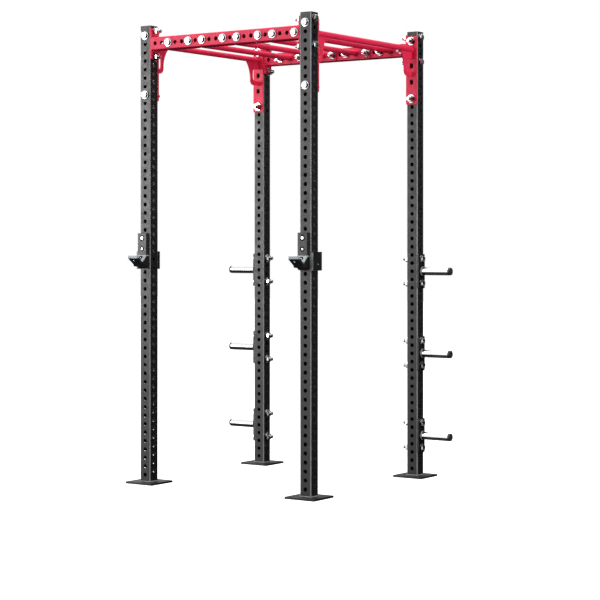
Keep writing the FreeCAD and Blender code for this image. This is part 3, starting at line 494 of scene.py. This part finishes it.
def assemble(name, parts):
    """One object from (vertices, faces, rotation, place) parts."""
    points, faces, start = [], [], 0
    for vertices, skin, rotation, place in parts:
        points.append(vertices @ rotation.T + place)
        faces += [tuple(start + corner for corner in face) for face in skin]
        start += len(vertices)
    mesh = bpy.data.meshes.new(name)
    mesh.from_pydata(np.concatenate(points).tolist(), [], faces)
    bm = bmesh.new()
    bm.from_mesh(mesh)
    bmesh.ops.recalc_face_normals(bm, faces=bm.faces)
    bm.to_mesh(mesh)
    bm.free()
    return link_object(name, mesh)


def round_off(bm, edges, width, **settings):
    bmesh.ops.bevel(bm, geom=edges, offset=width, segments=2, profile=0.6, affect="EDGES", **settings)


def bevelled(node, width, slot):
    """Make a copy of a CAD node with its sharp edges rounded, in place of the node."""
    bm = bmesh.new()
    bm.from_mesh(NODES[node].data)
    bmesh.ops.remove_doubles(bm, verts=bm.verts, dist=1e-6)
    bmesh.ops.dissolve_limit(bm, angle_limit=FLAT, verts=bm.verts, edges=bm.edges)
    whole = [edge for edge in bm.edges if edge.is_manifold]
    sharp = [edge for edge in whole if edge.calc_face_angle() > BEVELLED_FROM]
    round_off(bm, sharp, width, clamp_overlap=True)
    piece = new_object(f"{node}_finished", bm)
    finish_piece(piece, slot, BODIES[node], [node])


# --- bolts, nuts and washers -----------------------------------------------------------

HEX_SPOTS = 36
THREAD_PITCH = 3 * MM
THREAD_DEPTH = 1.5 * MM
THREAD_ROWS = 5
THREADED_LENGTH = 30 * MM
# A bolt's points nearer its axis than the first share of its widest reach are its shank's,
# and those farther than the second are its head's.
SHANK_SHARE, HEAD_SHARE = 0.7, 0.95
CHAMFER_CIRCLE = 0.94
CHAMFER_SLOPE = math.tan(math.radians(30))


def hexagon(apothem):
    """Distance from the axis to a hexagon's sides at each angle, with a corner at 0."""
    angles = np.arange(HEX_SPOTS) * 2 * math.pi / HEX_SPOTS
    return apothem / np.cos(angles % (math.pi / 3) - math.pi / 6)


def hex_end(apothem, z, way):
    """Chamfered end of a hexagon at z: its circle and its curved edge. way is 1 where
    the metal lies above z."""
    circle = apothem * CHAMFER_CIRCLE
    drop = (hexagon(apothem) - circle) * CHAMFER_SLOPE
    return [(circle, z), (hexagon(apothem), z + way * drop)]


def thread(radius, start, end):
    """Rows of a helical thread between two heights."""
    angles = np.arange(HEX_SPOTS) / HEX_SPOTS
    rows = int(round((end - start) / (THREAD_PITCH / THREAD_ROWS)))
    profile = []
    for row in range(rows + 1):
        z = start + (end - start) * row / rows
        phase = (z / THREAD_PITCH - angles) % 1
        groove = THREAD_DEPTH * (1 - np.abs(2 * phase - 1))
        profile.append((radius - groove * min(1, row / THREAD_ROWS), z))
    return profile


def bolt_template(apothem, head, shank, length):
    """Bolt along +Z from the seat of its head at z = 0."""
    profile = [(apothem * 0.55, -head + 0.5 * MM), (apothem * 0.62, -head)]
    profile += hex_end(apothem, -head, 1)
    profile += [(hexagon(apothem), -0.5 * MM), (apothem * 0.95, -0.5 * MM), (apothem * 0.95, 0)]
    profile += [(shank + 0.3 * MM, 0), (shank, 0.5 * MM)]
    profile += thread(shank, length - THREADED_LENGTH, length - 2 * MM)
    profile += [(shank - THREAD_DEPTH, length - 0.3 * MM), (shank - 2 * THREAD_DEPTH, length)]
    return strips(turned(profile, HEX_SPOTS), cyclic=False, capped=True)


def nut_template(apothem, bore, height):
    """Nut along +Z, centred, chamfered at both ends."""
    half, crests, mouth, lead = height / 2, bore - 1.0 * MM, bore + 0.6 * MM, 1.2 * MM
    lower = hex_end(apothem, -half, 1)
    upper = hex_end(apothem, half, -1)
    profile = [(crests, -half + lead), (mouth, -half)] + lower
    profile += upper[::-1] + [(mouth, half), (crests, half - lead)]
    return strips(turned(profile, HEX_SPOTS), cyclic=True, capped=False)


def washer_template(inner, outer, thick):
    """Stamped washer: one edge rolled, the other with a small burr edge."""
    half, roll, burr, mouth = thick / 2, thick * 0.35, 0.3 * MM, 0.5 * MM
    profile = [(inner, -half), (outer - burr, -half), (outer, -half + burr)]
    profile += [(outer, half - roll), (outer - roll * 0.3, half - roll * 0.3), (outer - roll, half)]
    profile += [(inner + mouth, half), (inner, half - mouth)]
    return strips(turned(profile, ROUND_SPOTS), cyclic=True, capped=False)


def hex_solids(node, lengthwise):
    """Corner points, axis number, centre, spans and distances from the axis of each solid
    of a node. The axis is the longest way through it, or the shortest."""
    found = []
    for points in solids_of(node):
        spans = np.ptp(points, axis=0)
        axis = int(np.argmax(spans) if lengthwise else np.argmin(spans))
        centre = (points.max(axis=0) + points.min(axis=0)) / 2
        offsets = points - centre
        offsets[:, axis] = 0
        found.append((points, axis, centre, spans, np.linalg.norm(offsets, axis=1)))
    return found


def hex_axes(direction, rng):
    """Axes of a hexagon whose corner points up, turned by chance: a little where its side
    faces the front of the cage, or by any angle."""
    reach = 0.2 if abs(direction[0]) > 0.5 else math.pi / 6
    turn = rng.uniform(-reach, reach)
    corner = UP * math.cos(turn) + np.cross(direction, UP) * math.sin(turn)
    return axes_from(direction, corner)


def make_bolts(rng):
    """Every bolt, with a chamfered head and a threaded end."""
    parts, shape = [], None
    for points, axis, centre, spans, radii in hex_solids("frame_bolts", True):
        widest = radii.max()
        shank = radii[radii < widest * SHANK_SHARE].max()
        head = points[radii > widest * HEAD_SHARE][:, axis]
        towards = -1.0 if head.mean() > centre[axis] else 1.0
        height = np.ptp(head)
        place = centre.copy()
        place[axis] = head.max() if towards > 0 else head.min()
        if shape is None:
            apothem = widest * math.cos(math.pi / 6)
            shape = bolt_template(apothem, height, shank, spans[axis] - height)
        parts.append((*shape, hex_axes(np.eye(3)[axis] * towards, rng), place))
    finish_piece(assemble("hex_bolts", parts), "zinc_hardware", stands_for=["frame_bolts"])


def make_nuts(rng):
    """Every nut, chamfered at both ends."""
    parts, shape = [], None
    for _, axis, centre, spans, radii in hex_solids("frame_nuts", False):
        if shape is None:
            shape = nut_template(radii.max() * math.cos(math.pi / 6), radii.min(), spans[axis])
        parts.append((*shape, hex_axes(np.eye(3)[axis], rng), centre))
    finish_piece(assemble("hex_nuts", parts), "zinc_hardware", stands_for=["frame_nuts"])


def make_washers():
    """Every washer, with its rolled edge away from the cage."""
    parts, shape = [], None
    for _, axis, centre, spans, radii in hex_solids("frame_washers", False):
        if shape is None:
            shape = washer_template(radii.min() + 0.4 * MM, radii.max(), spans[axis])
        outward = 1.0 if centre[axis] > 0 else -1.0
        direction = np.eye(3)[axis] * outward
        corner = np.eye(3)[(axis + 1) % 3]
        parts.append((*shape, axes_from(direction, corner), centre))
    finish_piece(assemble("stamped_washers", parts), "zinc_hardware", stands_for=["frame_washers"])


# --- caps and collars ------------------------------------------------------------------

def rounded_square(half, radius, spots=6):
    """Points round a square with rounded corners."""
    points = []
    for corner in range(4):
        start = corner * math.pi / 2
        middle = np.array([math.cos(start + math.pi / 4), math.sin(start + math.pi / 4)])
        centre = middle * math.sqrt(2) * (half - radius)
        for step in range(spots + 1):
            angle = start + step * math.pi / 2 / spots
            points.append(centre + radius * np.array([math.cos(angle), math.sin(angle)]))
    return np.array(points)


def square_rings(rows):
    """Rings of (half width, corner radius, z) rows."""
    rings = []
    for half, radius, z in rows:
        outline = rounded_square(half, radius)
        rings.append(np.column_stack([outline, np.full(len(outline), z)]))
    return rings


def make_upright_caps():
    """Moulded caps: a slightly crowned flange with a soft rim, and a plug below."""
    parts = []
    for points in solids_of("upright_caps"):
        low, high = points.min(axis=0), points.max(axis=0)
        half, top = (high[0] - low[0]) / 2, high[2]
        flange = 3.0 * MM
        plug = half - 4.2 * MM
        rows = [
            (plug - 1 * MM, 3 * MM, low[2]),
            (plug, 3 * MM, low[2] + 1 * MM),
            (plug, 3 * MM, top - flange),
            (half - 0.2 * MM, 6 * MM, top - flange),
            (half, 6 * MM, top - flange + 0.3 * MM),
            (half, 6 * MM, top - 1.6 * MM),
            (half - 0.5 * MM, 5.5 * MM, top - 0.8 * MM),
            (half - 1.8 * MM, 4.5 * MM, top - 0.3 * MM),
            (half - 5 * MM, 4 * MM, top - 0.25 * MM),
            (half - 6 * MM, 4 * MM, top - 0.7 * MM),
            (half - 9 * MM, 4 * MM, top - 0.7 * MM),
            (half - 10 * MM, 4 * MM, top - 0.2 * MM),
            (half * 0.4, 4 * MM, top),
        ]
        centre = np.array([(low[0] + high[0]) / 2, (low[1] + high[1]) / 2, 0])
        parts.append((*strips(square_rings(rows), False, True), np.eye(3), centre))
    finish_piece(assemble("moulded_upright_caps", parts), "black_plastic", stands_for=["upright_caps"])


def turned_group(name, node, slot, profile_of):
    """Turned pieces in place of each solid of a node whose axes lie along X, opening
    outwards from the cage."""
    parts = []
    for points in solids_of(node):
        low, high = points.min(axis=0), points.max(axis=0)
        outward = 1.0 if low[0] > 0 else -1.0
        root = low[0] if outward > 0 else high[0]
        radius = (high[2] - low[2]) / 2
        place = np.array([root, (low[1] + high[1]) / 2, (low[2] + high[2]) / 2])
        profile, cyclic = profile_of(radius, high[0] - low[0])
        skin = strips(turned(profile, ROUND_SPOTS), cyclic, not cyclic)
        direction = np.array([outward, 0, 0])
        parts.append((*skin, axes_from(direction, UP), place))
    finish_piece(assemble(name, parts), slot, stands_for=[node])


def peg_cap_profile(radius, length):
    """Plug, then a rim with a soft edge and a dished end with a ring."""
    plug, wall, soft = 12 * MM, 4.5 * MM, 3 * MM
    profile = [(radius - wall - 1 * MM, 0), (radius - wall, 1 * MM), (radius - wall, plug)]
    profile += [(radius - 0.3 * MM, plug), (radius, plug + 0.3 * MM)]
    for step in range(7):
        angle = step * math.pi / 12
        profile.append((radius - soft * (1 - math.cos(angle)), length - soft * (1 - math.sin(angle))))
    profile += [(radius - 6 * MM, length), (radius - 7 * MM, length - 1 * MM)]
    profile += [(radius * 0.4, length - 1.3 * MM), (radius * 0.15, length - 1.3 * MM)]
    return profile, False


def collar_profile(radius, length):
    """Ring with a rounded bevel, and a weld fillet on to the peg."""
    inner, edge = 22 * MM, 5 * MM
    profile = [(inner, 0), (radius - 0.4 * MM, 0), (radius, 0.4 * MM)]
    for step in range(6):
        share = step / 5
        ease = share * share * (3 - 2 * share)
        profile.append((radius - edge * ease, length - edge + edge * share))
    profile += [(inner + 2.2 * MM, length), (inner, length)]
    return profile, True


# --- screws of the J-cups --------------------------------------------------------------

# Radius and height above the screw's top of each edge of the saddle's black cup washer, in
# mm. It is made wide so that its black also paints the shade on the saddle's upper slope.
CUP_WASHER_AND_SHADE = ((6.2, 0.3), (7.4, 2.4), (15.0, 2.0), (17.0, 0.6), (17.0, 0.3))
SEAT_DEPTH, SEAT_PROUD, SEAT_EDGE = 6.8 * MM, 0.5 * MM, 0.5 * MM
# How far each black seat ring, which paints the shade in the seat, reaches in over its
# head, and out past it.
PAD_RING, PIN_RING = (2.2 * MM, 4.7 * MM), (2.6 * MM, 4.2 * MM)
FLAT_HEAD = 3 * MM
SOCKET_DEPTH = 2.4 * MM
SAME_SIZE = 0.1 * MM


def screw_frames(node):
    """Axis towards the head, head centre, head radius, shank radius, head height and
    length of each round solid of a node. The axis is the direction whose share of the
    face area differs from the other two, which are alike."""
    found = []
    for points, normals, areas in split_solids(node):
        shares, ways = np.linalg.eigh((normals * areas[:, None]).T @ normals)
        axis = ways[:, 2] if shares[1] - shares[0] < shares[2] - shares[1] else ways[:, 0]
        middle = (points.max(axis=0) + points.min(axis=0)) / 2
        along = (points - middle) @ axis
        ring = points[np.abs(along - along.max()) < SAME_SIZE]
        other = points[np.abs(along - along.min()) < SAME_SIZE]
        sizes = [np.ptp(group, axis=0).max() / 2 for group in (ring, other)]
        equal = abs(sizes[1] - sizes[0]) < SAME_SIZE
        if sizes[1] > sizes[0] + SAME_SIZE or (equal and axis[1] > 0):
            axis, along, ring, sizes = -axis, -along, other, sizes[::-1]
        centre = (ring.max(axis=0) + ring.min(axis=0)) / 2
        arms = points - centre
        radii = np.linalg.norm(arms - np.outer(arms @ axis, axis), axis=1)
        head = radii.max()
        wide = along[radii > head - 0.2 * MM]
        found.append((axis, centre, head, sizes[1], np.ptp(wide), np.ptp(along)))
    return found


def screw_skin(head, shank, height, length):
    """Button head with a hexagon socket and a plain shank, from its top at z = 0 down."""
    socket, dome = head * 0.42, min(head * 0.32, height * 0.6)
    level, fall = head * 0.64, head * 0.36
    profile = [(hexagon(socket), -SOCKET_DEPTH), (hexagon(socket), -0.15 * MM)]
    profile += [(hexagon(socket * 1.08), 0), (level, 0)]
    for step in range(1, 6):
        angle = step * math.pi / 10
        reach = level + fall * math.sin(angle)
        profile.append((reach, -dome * (1 - math.cos(angle))))
    profile.append((head, -height))
    if shank < head - 0.5 * MM:
        profile += [(shank + 0.3 * MM, -height), (shank, -height - 0.3 * MM)]
    profile.append((shank, -length))
    return strips(turned(profile, HEX_SPOTS), cyclic=False, capped=True)


def ring_skin(rows):
    """Closed ring from (radius, z) rows."""
    return strips(turned(rows, HEX_SPOTS), cyclic=True, capped=False)


def shade_ring(radius, reaches):
    """Black ring that fills the seat round a flat head, and stands a little proud of it. It
    paints the shade in the seat.
    """
    inner, outer = radius - reaches[0], radius + reaches[1]
    low, high = -SEAT_DEPTH, SEAT_PROUD
    rows = [(inner, low), (outer, low), (outer, high - SEAT_EDGE)]
    return ring_skin(rows + [(outer - SEAT_EDGE, high), (inner, high)])


def make_wear_strip_and_sheen(side):
    """Grey plastic strip, with rounded edges, on the front of the bracket's wing. Its pale grey
    is partly the plastic's own and partly a painted sheen, lightened against the pad's shade.
    """
    body, margin, thick, gap = f"j_cup_{side}", 1.5 * MM, 1.6 * MM, 0.3 * MM
    bracket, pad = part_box(f"{body}_bracket"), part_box(f"{body}_pad")
    end = 1 if side == "right" else 0
    left, right = sorted((bracket[end][0], pad[end][0]))
    low, high = bracket[0][2] + margin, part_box(f"{body}_liner")[1][2] - margin
    front = bracket[0][1]
    bm = bmesh.new()
    for x in (left + margin, right - gap):
        for y in (front - thick, front):
            for z in (low, high):
                bm.verts.new((x, y, z))
    bmesh.ops.convex_hull(bm, input=bm.verts)
    bmesh.ops.dissolve_limit(bm, angle_limit=FLAT, verts=bm.verts, edges=bm.edges)
    round_off(bm, bm.edges[:], 0.6 * MM)
    piece = new_object(f"{body}_wear_strip_and_sheen", bm)
    finish_piece(piece, "cup_pad_plastic", body, material="wear_strip_and_sheen")


def make_cup_screws(side):
    """Screws with sockets, black rings round the pad's flat head and the pin's tip, which paint
    the shade in their seats, and a black cup washer on the saddle, wide enough to paint the
    shade on its slope too."""
    body = f"j_cup_{side}"
    screws, rings = [], []
    for axis, centre, head, shank, height, length in screw_frames(f"{body}_screws"):
        corner = np.cross(axis, UP) if abs(axis[2]) < 0.9 else np.array([1.0, 0, 0])
        frame_axes = axes_from(axis, corner / np.linalg.norm(corner))
        if height > 0.9 * length:
            height = FLAT_HEAD
            # A black ring paints the shade in the seat round the flat head.
            rings.append((*shade_ring(head, PAD_RING), frame_axes, centre))
        elif axis[2] > 0.3 and centre[1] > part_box(f"{body}_hook")[0][1] + 40 * MM:
            # A real black cup washer, made wide enough to paint the shade on the saddle's slope.
            ring = ring_skin([(radius * MM, z * MM) for radius, z in CUP_WASHER_AND_SHADE])
            rings.append((*ring, frame_axes, centre))
        screws.append((*screw_skin(head, shank, height, length), frame_axes, centre))
    low, high = (np.array(corner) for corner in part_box(f"{body}_pin"))
    tip = np.array([(low[0] + high[0]) / 2, low[1], (low[2] + high[2]) / 2])
    radius = (high[2] - low[2]) / 2
    forward = axes_from(np.array([0, -1.0, 0]), UP)
    # A black ring paints the shade in the seat round the pin's tip.
    rings.append((*shade_ring(radius, PIN_RING), forward, tip))
    finish_piece(assemble(f"{body}_socket_screws", screws), "cup_steel", body, [f"{body}_screws"])
    # The rings are matte black that stands in for shade.
    finish_piece(assemble(f"{body}_shade_rings", rings), "black_plastic", body, material="shade_ring_black")


# --- weld beads ------------------------------------------------------------------------

RIPPLE = 3.2 * MM
RIPPLE_POINTS = 4
FOOT_BEAD, BAR_BEAD, BEAM_BEAD, GUSSET_BEAD = 4.5 * MM, 4 * MM, 4 * MM, 3.5 * MM


def bead(path, along_wall, off_wall, radius, cyclic):
    """Rippled fillet weld: a quarter round in the corner between two walls. path is the
    corner line, and the other two are the directions along each wall, point by point."""
    steps = np.linalg.norm(np.diff(path, axis=0), axis=1)
    travel = np.concatenate([[0], np.cumsum(steps)])
    phase = (travel / RIPPLE) % 1
    size = radius * (0.86 + 0.16 * (1 - (2 * phase - 1) ** 2))
    sink = 0.4 * radius
    rings = []
    for point, first, second, reach in zip(path, along_wall, off_wall, size):
        ring = [point - sink * (first + second)]
        ring.append(point + reach * first - sink * second)
        for step in range(5):
            angle = step * math.pi / 8
            ring.append(point + reach * (math.cos(angle) * first + math.sin(angle) * second))
        ring.append(point + reach * second - sink * first)
        rings.append(np.array(ring))
    return (*strips(rings, cyclic, not cyclic), np.eye(3), np.zeros(3))


def points_for(length):
    """Number of points along a bead, a few to each ripple."""
    return max(3, int(length / RIPPLE * RIPPLE_POINTS))


def ring_bead(centre, axis, radius, size):
    """Bead round a tube that stands on a wall; axis points along the tube."""
    axis = np.array(axis, dtype=float)
    side = np.cross(axis, UP if abs(axis[2]) < 0.5 else np.array([1.0, 0, 0]))
    other = np.cross(axis, side)
    count = points_for(2 * math.pi * radius)
    angles = np.arange(count) * 2 * math.pi / count
    outward = np.outer(np.cos(angles), side) + np.outer(np.sin(angles), other)
    path = np.array(centre) + radius * outward
    return bead(path, outward, np.tile(axis, (count, 1)), size, True)


def line_bead(start, end, first, second, size):
    """Straight bead between two walls, along the ways first and second from its corner."""
    start, end = np.array(start, dtype=float), np.array(end, dtype=float)
    count = points_for(np.linalg.norm(end - start))
    path = start + np.outer(np.linspace(0, 1, count), end - start)
    walls = [np.tile(np.array(way, dtype=float), (count, 1)) for way in (first, second)]
    return bead(path, *walls, size, False)


def foot_beads():
    """Bead round each upright on its base plate."""
    parts = []
    for name in CORNERS:
        low, high = (np.array(corner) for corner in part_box(f"upright_{name}"))
        half, radius = (high[0] - low[0]) / 2, 6 * MM
        outline = rounded_square(half, radius, 8)
        dense, normals = [], []
        for index, point in enumerate(outline):
            after = outline[(index + 1) % len(outline)]
            gap = after - point
            length = np.linalg.norm(gap)
            outward = np.array([gap[1], -gap[0]]) / length
            count = max(1, int(length / (RIPPLE / RIPPLE_POINTS)))
            for step in range(count):
                dense.append(point + gap * step / count)
                normals.append(outward)
        centre = np.array([(low[0] + high[0]) / 2, (low[1] + high[1]) / 2])
        path = np.column_stack([np.array(dense) + centre, np.full(len(dense), low[2])])
        outward = np.column_stack([normals, np.zeros(len(normals))])
        parts.append(bead(path, outward, np.tile(UP, (len(path), 1)), FOOT_BEAD, True))
    finish_piece(assemble("foot_weld_beads", parts), "charcoal_paint")


def bar_beads():
    """Beads at both ends of every round bar."""
    parts = []
    bars = [f"side_bar_{side}" for side in SIDES] + [f"monkey_bar_{number}" for number in MONKEY_BARS]
    for name in bars:
        low, high = (np.array(corner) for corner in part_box(name))
        radius = (high[2] - low[2]) / 2
        x, z = (low[0] + high[0]) / 2, (low[2] + high[2]) / 2
        parts.append(ring_bead((x, low[1], z), (0, 1, 0), radius, BAR_BEAD))
        parts.append(ring_bead((x, high[1], z), (0, -1, 0), radius, BAR_BEAD))
    return parts


def crossmember_beads():
    """Beads along the top and bottom of each crossmember on its end plates."""
    parts = []
    for end in ("front", "rear"):
        low, high = (np.array(corner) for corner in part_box(f"crossmember_{end}"))
        inset = 7 * MM
        for x, inward in ((low[0], 1.0), (high[0], -1.0)):
            for z, way in ((low[2], -1.0), (high[2], 1.0)):
                start, stop = (x, low[1] + inset, z), (x, high[1] - inset, z)
                parts.append(line_bead(start, stop, (0, 0, way), (inward, 0, 0), BEAM_BEAD))
    return parts


def gusset_beads():
    """Beads down both sides of each gusset on its plate, above and below its window."""
    parts = []
    for name in CORNERS:
        low, high = (np.array(corner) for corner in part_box(f"side_bar_gusset_{name}"))
        inward = 1.0 if name.startswith("front") else -1.0
        wall = low[1] if inward > 0 else high[1]
        bar_low, bar_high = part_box(f"side_bar_{name.split('_')[1]}")
        bar = (bar_low[2] + bar_high[2]) / 2
        above_window, below_window = bar - 58 * MM, bar - 143 * MM
        stretches = ((above_window, high[2] - 6 * MM), (low[2] + 2 * MM, below_window))
        for x, way in ((low[0], -1.0), (high[0], 1.0)):
            for bottom, top in stretches:
                start, stop = (x, wall, bottom), (x, wall, top)
                parts.append(line_bead(start, stop, (way, 0, 0), (0, inward, 0), GUSSET_BEAD))
    return parts


def make_beads():
    """Weld beads: one piece round the feet, and one for every red joint."""
    foot_beads()
    parts = bar_beads() + crossmember_beads() + gusset_beads()
    finish_piece(assemble("bar_weld_beads", parts), "red_paint")


# --- the whole scene -------------------------------------------------------------------

def coat_nodes():
    """Give every CAD node the material of its slot."""
    for row in frame["record"]["subparts"]:
        item = NODES[row["node"]]
        item.data.materials.clear()
        item.data.materials.append(materials[row["material_slot"]])


def slot_of(node):
    return next(row["material_slot"] for row in frame["record"]["subparts"] if row["node"] == node)


PLATE_EDGE = 0.8
CUP_EDGES = {"bracket": 1.0, "pad": 1.5, "hook": 1.0, "saddle": 1.2, "liner": 0.8, "pin": 0.5}


def make_bevelled_nodes():
    """Round the edges of the plates, the feet and the parts of the J-cups, by the widths
    above in mm."""
    plates = [f"{kind}_{name}" for name in CORNERS for kind in ("base_plate", "crossmember_end_plate")]
    plates += [f"{kind}_{name}" for name in CORNERS for kind in ("side_bar_plate", "side_bar_gusset")]
    plates += [f"storage_plates_{side}" for side in SIDES]
    plates += [f"monkey_bar_flanges_{number}" for number in MONKEY_BARS]
    for node in plates:
        bevelled(node, PLATE_EDGE * MM, slot_of(node))
    for side in SIDES:
        for part, width in CUP_EDGES.items():
            node = f"j_cup_{side}_{part}"
            bevelled(node, width * MM, slot_of(node))


make_camera()
make_world()
make_floor()
make_lights()
bpy.context.scene.view_settings.view_transform = "Standard"
materials = make_materials()
coat_nodes()
rng = np.random.default_rng(SEED)
make_bolts(rng)
make_nuts(rng)
make_washers()
make_upright_caps()
turned_group("moulded_peg_caps", "storage_peg_caps", "black_plastic", peg_cap_profile)
turned_group("turned_collars", "storage_collars", "charcoal_paint", collar_profile)
make_beads()
make_bevelled_nodes()
for side in SIDES:
    make_cup_screws(side)
    make_wear_strip_and_sheen(side)
